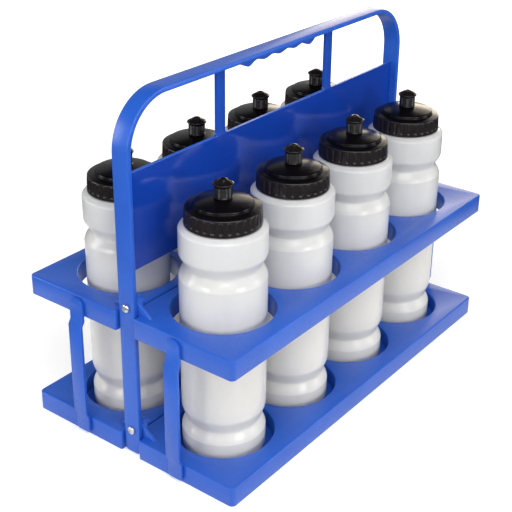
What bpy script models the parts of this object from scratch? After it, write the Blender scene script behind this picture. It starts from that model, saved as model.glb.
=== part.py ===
# Bottle carrier: a strap frame with a handle and a web, drilled trays that hinge on its
# legs, side links that join them, and squeeze bottles with push-pull caps in two rows.
# Metres, +Z up. X runs along the carrier, Y across it, the origin is under its middle.

from math import acos, atan2, cos, pi, sin, sqrt

import bmesh
import bpy
from mathutils import Matrix, Vector

# Fits shared by all pieces
gap = 0.0003
overrun = 0.002
sink = 0.001
weld = 0.000003

# Bottles, heights above their own base
bottle_radius = 0.0366
bottle_wall = 0.0013
heel_step = 0.0004
base_edge = 0.0037
base_edge_height = 0.0035
lower_groove_height = 0.0337
lower_groove_depth = 0.0035
lower_groove_below = 0.008
lower_groove_above = 0.010
upper_groove_height = 0.1777
upper_groove_depth = 0.0039
upper_groove_below = 0.0105
upper_groove_above = 0.009
shoulder_height = 0.2037
shoulder_rise = 0.0078
shoulder_inset = 0.0044
neck_length = 0.0128
neck_wall = 0.0014
neck_step = 0.0039

# Caps, heights above the skirt's lower rim
cap_bore_clearance = 0.0007
cap_wall = 0.003
cap_lift = 0.0008
cap_taper = 0.0006
cap_edge_height = 0.0139
cap_ledge = 0.006
cap_ledge_rise = 0.001
crown_taper = 0.0002
crown_wall_height = 0.0017
dome_step = 0.001
dome_step_height = 0.0014
dome_rise = 0.0028
dome_mid_radius_share = 0.58
dome_mid_height_share = 0.67
cap_roof = 0.002

# Push-pull spouts and the valve post under them
post_radius = 0.0043
post_bore_radius = 0.0024
post_height = 0.0082
pin_radius = 0.0017
pin_height = 0.0068
port_width = 0.0024
port_height = 0.003
port_below_top = 0.0015
spout_bore_clearance = 0.0005
spout_wall = 0.0027
spout_foot = 0.0003
spout_foot_height = 0.001
flare_reach = 0.0013
flare_rise = 0.001
flare_height = 0.0111
flare_band = 0.0011
spout_height = 0.0156
spout_tip_radius = 0.003
spout_mid_radius_share = 0.5
spout_mid_height_share = 0.35
spout_roof = 0.0018

# Trays
bottle_play = 0.0074
hole_web = 0.0063
tray_gap = 0.0018
hole_margin = 0.00905
side_margin = 0.01555
end_margin = 0.01755
hole_lip = 0.001
collar_wall = 0.0025
tray_height = 0.0183
tray_spacing = 0.1197
tray_corner_radius = 0.0045
tray_edge_fillet = 0.0013
tray_wall = 0.003
tray_deck = 0.003
pocket_floor = 0.003
columns = 4

# Hinge ears, screw bosses, and the notches that clear the frame's legs
notch_clearance = 0.0015
notch_end_clearance = 0.0021
ear_thickness = 0.003
ear_radius = 0.0092
ear_foot = 0.012
pivot_rise = 0.0052
boss_radius = 0.004
boss_length = 0.0074

# Frame
leg_inset = 0.003
frame_height = 0.3215
strap_width = 0.017
strap_thickness = 0.0045
strap_edge = 0.0009
strap_foot_radius = 0.004
leg_lift = 0.0006
frame_corner_radius = 0.046
web_gap = 0.0357
handle_opening = 0.0581
web_thickness = 0.003
strut_offset = 0.0795
strut_width = 0.011
strut_fillet = 0.0025
grip_width = 0.0085
grip_depth = 0.003
lobe_pitch = 0.0221
lobe_depth = 0.0021
end_lobe_drop = 0.0017
end_run_share = 0.65
lobes = 5

# Hinge screws
screw_radius = 0.00175
screw_point = 0.0015
screw_head_radius = 0.0037
screw_head_height = 0.0023
screw_recess_width = 0.0011
screw_recess_depth = 0.0012
screw_clearance = 0.0003

# Side links
link_width = 0.015
link_thickness = 0.0027
link_joggle = 0.0027
link_joggle_height = 0.0045
link_end_drop = 0.0047
link_lower_reach = 0.0065
link_corner_radius = 0.0025
stud_radius = 0.004
stud_lip = 0.0008
stud_lip_length = 0.0015

# Rounding
tray_segments = 20
body_segments = 16
spout_segments = 10
corner_segments = 3
shoulder_steps = 2
arch_segments = 7
small_segments = 12

# Bottle and cap sizes that follow from those above
heel_radius = bottle_radius - heel_step
base_radius = heel_radius - base_edge
lower_groove_radius = bottle_radius - lower_groove_depth
upper_groove_radius = bottle_radius - upper_groove_depth
neck_foot = shoulder_height + shoulder_rise
mouth_height = neck_foot + neck_length
shoulder_radius = bottle_radius - shoulder_inset
neck_radius = shoulder_radius - neck_step
cap_bore = neck_radius + cap_bore_clearance
cap_radius = cap_bore + cap_wall
cap_top_radius = cap_radius - cap_taper
cap_base = neck_foot + cap_lift
cap_ceiling = mouth_height + gap - cap_base
ledge_height = cap_edge_height + cap_ledge_rise
ledge_radius = cap_top_radius - cap_ledge
crown_radius = ledge_radius - crown_taper
crown_height = ledge_height + crown_wall_height
dome_radius = crown_radius - dome_step
dome_edge_height = crown_height + dome_step_height
dome_height = dome_edge_height + dome_rise
post_foot = dome_height + gap
post_top = post_foot + post_height
spout_bore = post_radius + spout_bore_clearance
spout_radius = spout_bore + spout_wall

# Tray, hinge and frame sizes that follow from those above
inner_face = tray_gap / 2
hole_radius = bottle_radius + bottle_play
column_pitch = 2 * hole_radius + hole_web
row_offset = inner_face + hole_margin + hole_radius
tray_depth = row_offset + hole_radius + side_margin
tray_end = (columns - 1) / 2 * column_pitch + hole_radius + end_margin
leg_outer = tray_end - leg_inset
leg_inner = leg_outer - strap_thickness
outer_ear = leg_inner - gap
inner_ear = outer_ear - ear_thickness - gap
boss_end = inner_ear - ear_thickness - boss_length
notch_end = inner_ear - ear_thickness - notch_end_clearance
notch_width = strap_width / 2 + notch_clearance
lower_pivot = tray_height + pivot_rise
upper_pivot = lower_pivot + tray_spacing
screw_length = leg_outer + gap - boss_end + screw_point
link_stud_drop = pivot_rise + tray_height / 2
rail_bottom = frame_height - strap_thickness
web_bottom = upper_pivot - pivot_rise + web_gap
web_top = rail_bottom - handle_opening
bottle_base = pocket_floor + gap
deck_level = -pivot_rise
base_level = -pivot_rise - tray_height

blue = ("blue_plastic", (0.050, 0.145, 0.640), 0.36, 0.0)
pearl = ("pearl_polyethylene", (0.78, 0.79, 0.80), 0.34, 0.0)
black = ("black_plastic", (0.012, 0.011, 0.011), 0.32, 0.0)
zinc = ("zinc_steel", (0.72, 0.71, 0.68), 0.28, 1.0)


def clear_scene():
    for obj in list(bpy.data.objects):
        bpy.data.objects.remove(obj, do_unlink=True)


def material(name, colour, roughness, metallic):
    """A Principled material, made once for each name."""
    found = bpy.data.materials.get(name)
    if found:
        return found
    made = bpy.data.materials.new(name)
    made.use_nodes = True
    shader = made.node_tree.nodes["Principled BSDF"]
    shader.inputs["Base Color"].default_value = (*colour, 1.0)
    shader.inputs["Roughness"].default_value = roughness
    shader.inputs["Metallic"].default_value = metallic
    made.diffuse_color = (*colour, 1.0)
    return made


def add_object(name, bm, finish=None, location=(0, 0, 0), turn=0.0, smooth=None):
    """Turn a bmesh into a placed object; without a finish it is a cutter or a guide."""
    mesh = bpy.data.meshes.new(name)
    bm.to_mesh(mesh)
    bm.free()
    if smooth is not None:
        mesh.shade_smooth()
        mesh.set_sharp_from_angle(angle=smooth)
    obj = bpy.data.objects.new(name, mesh)
    bpy.context.scene.collection.objects.link(obj)
    obj.location = location
    obj.rotation_euler = (0, 0, turn)
    if finish:
        mesh.materials.append(material(*finish))
    else:
        obj.hide_render = True
        obj.display_type = "WIRE"
    return obj


def boolean(obj, other, operation):
    cut = obj.modifiers.new(operation.lower() + "_" + other.name, "BOOLEAN")
    cut.operation = operation
    cut.object = other
    cut.solver = "EXACT"
    other.parent = obj
    return cut


def along_x(u, v, w):
    return Vector((w, u, v))


def along_y(u, v, w):
    return Vector((u, w, v))


def along_z(u, v, w):
    return Vector((u, v, w))


def prism(outline, place, low, high):
    """A closed prism on an outline, from low to high along the third axis."""
    bm = bmesh.new()
    base = bm.faces.new([bm.verts.new(place(u, v, low)) for u, v in outline])
    grown = bmesh.ops.extrude_face_region(bm, geom=[base])["geom"]
    shift = place(0, 0, high) - place(0, 0, low)
    bmesh.ops.translate(bm, vec=shift, verts=[g for g in grown if isinstance(g, bmesh.types.BMVert)])
    bmesh.ops.recalc_face_normals(bm, faces=bm.faces)
    return bm


def turned(profile, segments, ring=False):
    """A solid of revolution about Z; ring closes a profile that never meets the axis."""
    bm = bmesh.new()
    verts = [bm.verts.new((r, 0, z)) for r, z in profile]
    pairs = list(zip(verts, verts[1:])) + ([(verts[-1], verts[0])] if ring else [])
    edges = [bm.edges.new(pair) for pair in pairs]
    bmesh.ops.spin(bm, geom=verts + edges, cent=(0, 0, 0), axis=(0, 0, 1), angle=2 * pi,
                   steps=segments, use_merge=True)
    bmesh.ops.remove_doubles(bm, verts=bm.verts, dist=weld)
    bmesh.ops.recalc_face_normals(bm, faces=bm.faces)
    return bm


def merge(target, extra, matrix=None):
    """Add another bmesh's closed solid beside those of the target."""
    if matrix is not None:
        bmesh.ops.transform(extra, matrix=matrix, verts=extra.verts)
    mesh = bpy.data.meshes.new("transfer")
    extra.to_mesh(mesh)
    extra.free()
    target.from_mesh(mesh)
    bpy.data.meshes.remove(mesh)
    return target


def arc(centre, radius, start, end, segments):
    """Points of an arc, its ends included."""
    return [(centre[0] + radius * cos(start + (end - start) * i / segments),
             centre[1] + radius * sin(start + (end - start) * i / segments))
            for i in range(segments + 1)]


def column_places():
    return [(i - (columns - 1) / 2) * column_pitch for i in range(columns)]


def lying(radius, length, segments):
    """A cylinder along +X from the origin."""
    bm = turned([(0, 0), (radius, 0), (radius, length), (0, length)], segments)
    bmesh.ops.rotate(bm, cent=(0, 0, 0), matrix=Matrix.Rotation(pi / 2, 3, "Y"), verts=bm.verts)
    return bm


# Handle frame

def band_outline():
    """The strap's side view: up one leg, over the arch and down the other."""
    reach = leg_outer - frame_corner_radius
    level = frame_height - frame_corner_radius
    inside = frame_corner_radius - strap_thickness
    outer = [(-leg_outer, leg_lift)]
    outer += arc((-reach, level), frame_corner_radius, pi, pi / 2, arch_segments)
    outer += arc((reach, level), frame_corner_radius, pi / 2, 0, arch_segments)
    outer += [(leg_outer, leg_lift)]
    inner = [(leg_inner, leg_lift)]
    inner += arc((reach, level), inside, 0, pi / 2, arch_segments)
    inner += arc((-reach, level), inside, pi / 2, pi, arch_segments)
    inner += [(-leg_inner, leg_lift)]
    return outer + inner


def band_mesh():
    bm = prism(band_outline(), along_y, -strap_width / 2, strap_width / 2)
    foot = [e for e in bm.edges
            if all(abs(v.co.z - leg_lift) < gap for v in e.verts)
            and abs(e.verts[0].co.y - e.verts[1].co.y) < gap]
    bmesh.ops.bevel(bm, geom=foot, offset=strap_foot_radius, segments=corner_segments,
                    profile=0.5, affect="EDGES")
    return bm


def strut_outline(centre):
    """One strut between the web and the rail, with a fillet in each corner."""
    half = strut_width / 2 + strut_fillet
    side = [(-half, web_top - sink)]
    side += arc((-half, web_top + strut_fillet), strut_fillet, -pi / 2, 0, corner_segments)
    side += arc((-half, rail_bottom - strut_fillet), strut_fillet, 0, pi / 2, corner_segments)
    side += [(-half, rail_bottom + sink)]
    return [(centre + x, z) for x, z in side] + [(centre - x, z) for x, z in reversed(side)]


def lobe_drop(x):
    """How far the finger rib hangs below the rail at a place along it."""
    last = (lobes - 1) / 2 * lobe_pitch
    wave = (1 + cos(2 * pi * (x - last) / lobe_pitch)) / 2
    past = min(max((abs(x) - last + lobe_pitch / 2) / (lobe_pitch / 2), 0), 1)
    drop = grip_depth + wave * lobe_depth + past * wave * end_lobe_drop
    if abs(x) <= last:
        return drop
    fade = min((abs(x) - last) / (end_run_share * lobe_pitch), 1)
    return (grip_depth + lobe_depth + end_lobe_drop) * (1 + cos(pi * fade)) / 2


def lobe_outline():
    """The finger rib's side view: flat in the rail, with a row of lobes below it."""
    reach = ((lobes - 1) / 2 + end_run_share) * lobe_pitch
    steps = 2 * lobes * (corner_segments + 1)
    places = [reach - 2 * reach * i / steps for i in range(steps + 1)]
    lower = [(x, rail_bottom - lobe_drop(x)) for x in places[1:-1]]
    return [(-reach, rail_bottom + sink), (reach, rail_bottom + sink)] + lower


def grip_mesh():
    half = web_thickness / 2
    grip = prism(strut_outline(-strut_offset), along_y, -half, half)
    merge(grip, prism(strut_outline(strut_offset), along_y, -half, half))
    return merge(grip, prism(lobe_outline(), along_y, -grip_width / 2, grip_width / 2))


def make_frame():
    frame = add_object("handle_frame", band_mesh(), blue)
    edge = frame.modifiers.new("strap_edges", "BEVEL")
    edge.width = strap_edge
    edge.segments = 1
    edge.limit_method = "ANGLE"
    half = web_thickness / 2
    reach = leg_inner + sink
    web = prism([(-reach, web_bottom), (reach, web_bottom), (reach, web_top), (-reach, web_top)],
                along_y, -half, half)
    boolean(frame, add_object("guide_web", web), "UNION")
    boolean(frame, add_object("guide_grip", grip_mesh()), "UNION")
    holes = bmesh.new()
    for side in (-1, 1):
        for level in (lower_pivot, upper_pivot):
            hole = lying(screw_radius + screw_clearance, strap_thickness + 2 * overrun, small_segments)
            start = side * (leg_inner + strap_thickness / 2) - strap_thickness / 2 - overrun
            merge(holes, hole, Matrix.Translation((start, 0, level)))
    boolean(frame, add_object("cutter_leg_holes", holes), "DIFFERENCE")
    return frame


# Trays, drawn as the front tray with the hinge axis at the origin

def tray_outline(inset):
    """The tray's plan, with notches round the legs, drawn in by the inset."""
    end = tray_end - inset
    out = -(tray_depth - inset)
    inner = -(inner_face + inset)
    notch_x = notch_end - inset
    notch_y = -(notch_width + inset)
    radius = max(tray_corner_radius - inset, gap)
    near = [(-end, notch_y)]
    near += arc((-end + radius, out + radius), radius, pi, 3 * pi / 2, corner_segments)
    far = arc((end - radius, out + radius), radius, 3 * pi / 2, 2 * pi, corner_segments)
    far += [(end, notch_y), (notch_x, notch_y), (notch_x, inner)]
    return near + far + [(-notch_x, inner), (-notch_x, notch_y)]


def tray_slab():
    bm = prism(tray_outline(0), along_z, base_level, deck_level)
    rim = [e for e in bm.edges if all(abs(v.co.z - deck_level) < gap for v in e.verts)]
    bmesh.ops.bevel(bm, geom=rim, offset=tray_edge_fillet, segments=2, profile=0.5, affect="EDGES",
                    clamp_overlap=True)
    return bm


def hole_mesh(floor):
    """Four hole cutters with a chamfered lip at the deck."""
    low = base_level - overrun if floor == 0 else base_level + floor
    profile = [(0, low), (hole_radius, low), (hole_radius, deck_level - hole_lip),
               (hole_radius + hole_lip, deck_level),
               (hole_radius + hole_lip, deck_level + overrun), (0, deck_level + overrun)]
    holes = bmesh.new()
    for x in column_places():
        merge(holes, turned(profile, tray_segments), Matrix.Translation((x, -row_offset, 0)))
    return holes


def collar_mesh():
    radius = hole_radius + collar_wall
    low = base_level - 2 * overrun
    collars = bmesh.new()
    for x in column_places():
        collar = turned([(0, low), (radius, low), (radius, deck_level), (0, deck_level)], tray_segments)
        merge(collars, collar, Matrix.Translation((x, -row_offset, 0)))
    return collars


def ear_outline():
    """An ear's side view in Y and Z: a sloping back, a round end on the hinge axis."""
    foot = (-(notch_width + ear_foot), deck_level)
    reach = sqrt(foot[0] ** 2 + foot[1] ** 2)
    tangent = atan2(foot[1], foot[0]) - acos(ear_radius / reach)
    start = tangent % (2 * pi)
    sunk = deck_level - tray_deck + sink
    points = [(foot[0], sunk), foot]
    points += arc((0, 0), ear_radius, start, -pi / 2, 2 * corner_segments + 2)
    return points + [(-notch_width - sink, -ear_radius), (-notch_width - sink, sunk)]


def ear_mesh():
    """The plain ear at the left end, and the ear with the screw boss at the right end."""
    bm = prism(ear_outline(), along_x, -outer_ear, -outer_ear + ear_thickness)
    return merge(bm, prism(ear_outline(), along_x, inner_ear - ear_thickness, inner_ear))


def boss_mesh():
    length = boss_length + sink
    return merge(bmesh.new(), lying(boss_radius, length, small_segments),
                 Matrix.Translation((boss_end, 0, 0)))


def tray_bore_mesh():
    """Screw bores in the ears and stud holes in the end walls."""
    bores = bmesh.new()
    radius = screw_radius + screw_clearance
    plain = ear_thickness + 2 * overrun
    merge(bores, lying(radius, plain, small_segments), Matrix.Translation((-outer_ear - overrun, 0, 0)))
    long = ear_thickness + boss_length + 2 * overrun
    merge(bores, lying(radius, long, small_segments), Matrix.Translation((boss_end - overrun, 0, 0)))
    for side in (-1, 1):
        span = tray_wall + 2 * overrun
        at = side * (tray_end - tray_wall / 2) - span / 2
        place = Matrix.Translation((at, -row_offset, -link_stud_drop))
        merge(bores, lying(stud_radius + gap, span, small_segments), place)
    return bores


def make_tray(name, floor):
    """One tray with its cuts, standing on the hinge axis at the origin."""
    tray = add_object(name, tray_slab(), blue, smooth=pi / 5)
    cavity = add_object("cutter_cavity_" + name,
                        prism(tray_outline(tray_wall), along_z, base_level - overrun, deck_level - tray_deck))
    boolean(cavity, add_object("cutter_collars_" + name, collar_mesh()), "DIFFERENCE")
    boolean(tray, cavity, "DIFFERENCE")
    boolean(tray, add_object("cutter_holes_" + name, hole_mesh(floor)), "DIFFERENCE")
    boolean(tray, add_object("guide_ears_" + name, ear_mesh()), "UNION")
    boolean(tray, add_object("guide_boss_" + name, boss_mesh()), "UNION")
    boolean(tray, add_object("cutter_bores_" + name, tray_bore_mesh()), "DIFFERENCE")
    return tray


def place_trays():
    for row, turn in (("front", 0.0), ("back", pi)):
        for level, floor, height in (("upper", 0, upper_pivot), ("lower", pocket_floor, lower_pivot)):
            tray = make_tray(row + "_" + level + "_tray", floor)
            tray.location = (0, 0, height)
            tray.rotation_euler = (0, 0, turn)


# Side links, drawn for the end at -X with the upper stud's axis at the origin

def link_side():
    """The link's edge view in X and Z, with a joggle at each end."""
    near = -gap
    far = near - link_thickness
    top = link_width / 2 + overrun
    bend = -link_end_drop - tray_height / 2
    low_bend = -tray_spacing + tray_height / 2 + link_end_drop
    low = -tray_spacing - link_lower_reach - overrun
    inner = [(near, top), (near, bend), (near - link_joggle, bend - link_joggle_height),
             (near - link_joggle, low_bend), (near, low_bend - link_joggle_height), (near, low)]
    outer = [(far, low), (far, low_bend - link_joggle_height), (far - link_joggle, low_bend),
             (far - link_joggle, bend - link_joggle_height), (far, bend), (far, top)]
    return inner + outer


def link_face():
    """The link's front view in Y and Z: a round upper end and a square lower one."""
    half = link_width / 2
    low = -tray_spacing - link_lower_reach
    corner = link_corner_radius
    points = arc((0, 0), half, 0, pi, 2 * corner_segments + 2)
    points += arc((-half + corner, low + corner), corner, pi, 3 * pi / 2, 2)
    points += arc((half - corner, low + corner), corner, 3 * pi / 2, 2 * pi, 2)
    return points


def stud_profile():
    """A snap stud: a shank through the tray's wall and a lip behind it."""
    wall = tray_wall + 2 * gap
    lip = stud_radius + stud_lip
    return [(0, -sink), (stud_radius, -sink), (stud_radius, wall), (lip, wall),
            (lip - stud_lip, wall + stud_lip_length), (0, wall + stud_lip_length)]


def make_link(name, location, turn):
    link = add_object(name, prism(link_side(), along_y, -link_width, link_width), blue, location, turn)
    depth = link_thickness + link_joggle + 2 * overrun
    face = add_object("guide_face_" + name, prism(link_face(), along_x, -depth, overrun))
    boolean(link, face, "INTERSECT")
    studs = bmesh.new()
    for level in (0, -tray_spacing):
        stud = turned(stud_profile(), small_segments)
        bmesh.ops.rotate(stud, cent=(0, 0, 0), matrix=Matrix.Rotation(pi / 2, 3, "Y"), verts=stud.verts)
        merge(studs, stud, Matrix.Translation((-gap, 0, level)))
    boolean(link, add_object("guide_studs_" + name, studs), "UNION")
    return link


def place_links():
    for end, side, turn in (("near", -1, 0.0), ("far", 1, pi)):
        for row, way in (("front", -1), ("back", 1)):
            place = (side * tray_end, way * row_offset, upper_pivot - link_stud_drop)
            make_link(row + "_" + end + "_link", place, turn)


# Hinge screws, drawn along +X with the underside of the head at the origin

def screw_mesh():
    length = screw_length
    round_edge = screw_head_height / 2
    profile = [(0, -screw_head_height), (screw_head_radius - round_edge, -screw_head_height),
               (screw_head_radius, -screw_head_height + round_edge), (screw_head_radius, 0),
               (screw_radius, 0), (screw_radius, length - screw_point), (0, length)]
    bm = turned(profile, small_segments)
    bmesh.ops.rotate(bm, cent=(0, 0, 0), matrix=Matrix.Rotation(pi / 2, 3, "Y"), verts=bm.verts)
    return bm


def recess_mesh():
    """The cross recess: two bars that cross, as one outline."""
    half = screw_recess_width / 2
    arm = screw_head_radius - screw_head_height / 2 - half / 2
    outline = [(-arm, -half), (-half, -half), (-half, -arm), (half, -arm), (half, -half), (arm, -half),
               (arm, half), (half, half), (half, arm), (-half, arm), (-half, half), (-arm, half)]
    return prism(outline, along_x, -screw_head_height - overrun, -screw_head_height + screw_recess_depth)


def place_screws():
    for end, side, turn in (("near", -1, 0.0), ("far", 1, pi)):
        for level, height in (("upper", upper_pivot), ("lower", lower_pivot)):
            name = "hinge_screw_" + end + "_" + level
            place = (side * (leg_outer + gap), 0, height)
            screw = add_object(name, screw_mesh(), zinc, place, turn, pi / 5)
            boolean(screw, add_object("cutter_recess_" + name, recess_mesh()), "DIFFERENCE")


# Bottles, each on its own base

def bottle_mesh():
    """A hollow shell: base, heel, a groove at each end, shoulder and an open neck."""
    heel_top = lower_groove_height - lower_groove_below
    body_low = lower_groove_height + lower_groove_above
    body_top = upper_groove_height - upper_groove_below
    band_low = upper_groove_height + upper_groove_above
    fall = bottle_radius - shoulder_radius
    shoulder = [(shoulder_radius + fall * cos(i * pi / 2 / shoulder_steps),
                 shoulder_height + shoulder_rise * sin(i * pi / 2 / shoulder_steps))
                for i in range(shoulder_steps + 1)]
    outer = [(0, 0), (base_radius, 0), (heel_radius, base_edge_height), (heel_radius, heel_top),
             (lower_groove_radius, lower_groove_height), (heel_radius, body_low),
             (bottle_radius, body_top), (upper_groove_radius, upper_groove_height),
             (bottle_radius, band_low)] + shoulder
    outer += [(neck_radius, neck_foot), (neck_radius, mouth_height)]
    bore = neck_radius - neck_wall
    wall = bottle_wall
    inner = [(bore, mouth_height), (bore, neck_foot - wall),
             (bottle_radius - wall, shoulder_height - wall),
             (bottle_radius - wall, band_low), (upper_groove_radius - wall, upper_groove_height),
             (bottle_radius - wall, body_top), (heel_radius - wall, body_low),
             (lower_groove_radius - wall, lower_groove_height), (heel_radius - wall, heel_top),
             (heel_radius - wall, base_edge_height + wall), (base_radius - wall, wall), (0, wall)]
    return turned(outer + inner, body_segments)


def cap_mesh():
    """The cap: a skirt, a stepped crown, a dome and the valve post in its middle."""
    inside = dome_radius - cap_roof
    dome_mid = (dome_radius * dome_mid_radius_share, dome_edge_height + dome_rise * dome_mid_height_share)
    inner = [(0, post_top - cap_roof), (post_bore_radius, post_top - cap_roof),
             (post_bore_radius, post_foot - cap_roof), (inside, dome_edge_height - cap_roof),
             (inside, cap_ceiling), (cap_bore, cap_ceiling)]
    outer = [(cap_bore, 0), (cap_radius, 0), (cap_top_radius, cap_edge_height),
             (ledge_radius, ledge_height), (crown_radius, crown_height),
             (dome_radius, dome_edge_height), dome_mid, (post_radius, post_foot),
             (post_radius, post_top), (pin_radius, post_top),
             (pin_radius, post_top + pin_height), (0, post_top + pin_height)]
    return turned(inner + outer, body_segments)


def port_mesh():
    """A bar across the valve post that opens its bore to both sides."""
    top = post_top - port_below_top
    half = port_width / 2
    reach = post_radius + overrun
    return prism([(-half, top - port_height), (half, top - port_height), (half, top), (-half, top)],
                 along_x, -reach, reach)


def spout_mesh():
    """The push-pull spout: a foot, a sleeve, a flared rim and a drilled cone."""
    hole = pin_radius + screw_clearance
    rim_top = flare_height + flare_band
    rim_radius = spout_radius + flare_reach
    mid = (spout_tip_radius + (rim_radius - spout_tip_radius) * spout_mid_radius_share,
           rim_top + (spout_height - rim_top) * spout_mid_height_share)
    profile = [(spout_bore, 0), (spout_radius + spout_foot, 0), (spout_radius, spout_foot_height),
               (spout_radius, flare_height - flare_rise), (rim_radius, flare_height),
               (rim_radius - gap, rim_top), mid, (spout_tip_radius, spout_height),
               (hole, spout_height), (hole, spout_height - spout_roof), (spout_bore, rim_top)]
    return turned(profile, spout_segments, ring=True)


def place_bottles():
    """Each bottle carries its cap, and each cap its spout."""
    sources = {}
    for row, way in (("front", -1), ("back", 1)):
        for number, x in enumerate(column_places(), 1):
            tag = row + "_" + str(number)
            seat = (x, way * row_offset, bottle_base)
            bottle = add_or_copy("bottle_" + tag, sources, bottle_mesh, pearl, seat, None)
            cap = add_or_copy("cap_" + tag, sources, cap_mesh, black, (0, 0, cap_base), bottle)
            boolean(cap, add_object("cutter_ports_" + tag, port_mesh()), "DIFFERENCE")
            add_or_copy("spout_" + tag, sources, spout_mesh, black, (0, 0, dome_height + 2 * gap), cap)


def add_or_copy(name, sources, build, finish, location, parent):
    """The first piece of a kind is modelled, the others share its mesh."""
    if build not in sources:
        obj = add_object(name, build(), finish, location, smooth=pi / 5)
        sources[build] = obj.data
    else:
        obj = bpy.data.objects.new(name, sources[build])
        bpy.context.scene.collection.objects.link(obj)
        obj.location = location
    obj.parent = parent
    return obj


clear_scene()
make_frame()
place_trays()
place_links()
place_screws()
place_bottles()
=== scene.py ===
import math

import bpy
from mathutils import Matrix, Vector


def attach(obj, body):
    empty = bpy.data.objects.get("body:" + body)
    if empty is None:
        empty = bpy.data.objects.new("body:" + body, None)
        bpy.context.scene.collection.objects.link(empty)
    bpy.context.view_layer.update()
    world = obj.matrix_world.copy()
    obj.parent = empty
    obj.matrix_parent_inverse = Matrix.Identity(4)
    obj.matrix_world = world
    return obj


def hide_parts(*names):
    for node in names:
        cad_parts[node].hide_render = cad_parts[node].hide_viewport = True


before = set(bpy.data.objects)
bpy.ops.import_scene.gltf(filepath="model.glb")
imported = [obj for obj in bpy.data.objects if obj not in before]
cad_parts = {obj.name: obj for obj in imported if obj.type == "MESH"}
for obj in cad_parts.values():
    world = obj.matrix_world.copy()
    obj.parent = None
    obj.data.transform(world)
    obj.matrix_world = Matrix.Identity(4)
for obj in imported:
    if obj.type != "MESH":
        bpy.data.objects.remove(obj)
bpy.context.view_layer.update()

mm = 0.001
pi = math.pi
# corners this close are merged, places this close count as the same, and cutters reach this far past
weld = 0.002 * mm
touch = 0.1 * mm
spare = 5 * mm
rodSides = 40


def freshStart():
    if bpy.context.object and bpy.context.object.mode != 'OBJECT':
        bpy.ops.object.mode_set(mode='OBJECT')
    bpy.ops.object.select_all(action='DESELECT')


def makeActive(piece):
    freshStart()
    piece.select_set(True)
    bpy.context.view_layer.objects.active = piece


def drawPath(name, points):
    # one vertex, then extruded from point to point
    freshStart()
    bpy.ops.mesh.primitive_plane_add(size=mm, location=(0, 0, 0))
    piece = bpy.context.object
    piece.name = name
    piece.data.name = name
    bpy.ops.object.mode_set(mode='EDIT')
    bpy.ops.mesh.select_mode(type='VERT')
    bpy.ops.mesh.select_all(action='SELECT')
    bpy.ops.mesh.merge(type='CENTER')
    bpy.ops.transform.translate(value=points[0])
    for here, there in zip(points, points[1:]):
        step = Vector(there) - Vector(here)
        bpy.ops.mesh.extrude_region_move(TRANSFORM_OT_translate={"value": step})
    return piece


def closePath():
    bpy.ops.mesh.select_all(action='SELECT')
    bpy.ops.mesh.edge_face_add()


def drawPlate(name, points, step):
    # a filled outline, extruded by the step
    piece = drawPath(name, points)
    closePath()
    bpy.ops.mesh.extrude_region_move(TRANSFORM_OT_translate={"value": step})
    bpy.ops.mesh.select_all(action='SELECT')
    bpy.ops.mesh.normals_make_consistent(inside=False)
    bpy.ops.object.mode_set(mode='OBJECT')
    return piece


def applyModifiers(piece):
    makeActive(piece)
    for modifier in list(piece.modifiers):
        bpy.ops.object.modifier_apply(modifier=modifier.name)


def turnProfile(name, profile, steps, closed=False):
    # a profile in radius and height, turned about Z
    points = [(r, 0, z) for r, z in profile]
    piece = drawPath(name, points + points[:1] if closed else points)
    bpy.ops.mesh.select_all(action='SELECT')
    bpy.ops.mesh.remove_doubles(threshold=weld)
    bpy.ops.object.mode_set(mode='OBJECT')
    turning = piece.modifiers.new("turn", 'SCREW')
    turning.axis = 'Z'
    turning.steps = steps
    turning.render_steps = steps
    turning.use_merge_vertices = True
    turning.merge_threshold = weld
    applyModifiers(piece)
    cleanMesh(piece)
    return piece


def cleanMesh(piece):
    makeActive(piece)
    bpy.ops.object.mode_set(mode='EDIT')
    bpy.ops.mesh.select_all(action='SELECT')
    bpy.ops.mesh.remove_doubles(threshold=weld)
    bpy.ops.mesh.normals_make_consistent(inside=False)
    bpy.ops.object.mode_set(mode='OBJECT')


def pickEdges(piece, wanted):
    makeActive(piece)
    bpy.ops.object.mode_set(mode='EDIT')
    bpy.ops.mesh.select_mode(type='EDGE')
    bpy.ops.mesh.select_all(action='DESELECT')
    bpy.ops.object.mode_set(mode='OBJECT')
    corners = piece.data.vertices
    for edge in piece.data.edges:
        a, b = (corners[i].co for i in edge.vertices)
        edge.select = wanted(a, b)
    bpy.ops.object.mode_set(mode='EDIT')


def bothAt(level):
    # a test for edges that lie at one height
    return lambda a, b: abs(a.z - level) < touch and abs(b.z - level) < touch


def bevelPicked(width, rounds):
    # the settings hold this pair for every rounded edge
    bpy.ops.mesh.bevel(offset=width, offset_type='OFFSET', segments=rounds, profile=0.5,
                       affect='EDGES')
    bpy.ops.object.mode_set(mode='OBJECT')


def roundEdges(piece, width, rounds, angle=50):
    # rounds every edge sharper than the angle
    bevel = piece.modifiers.new("round edges", 'BEVEL')
    bevel.width = width
    bevel.segments = rounds
    bevel.limit_method = 'ANGLE'
    bevel.angle_limit = math.radians(angle)
    bevel.harden_normals = False
    applyModifiers(piece)


def combine(piece, other, way):
    # union, difference or intersection, and the other piece goes
    cut = piece.modifiers.new("combine", 'BOOLEAN')
    cut.operation = way
    cut.object = other
    cut.solver = 'EXACT'
    applyModifiers(piece)
    bpy.data.objects.remove(other, do_unlink=True)


def fixPlace(piece):
    makeActive(piece)
    bpy.ops.object.transform_apply(location=True, rotation=True, scale=True)


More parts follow.
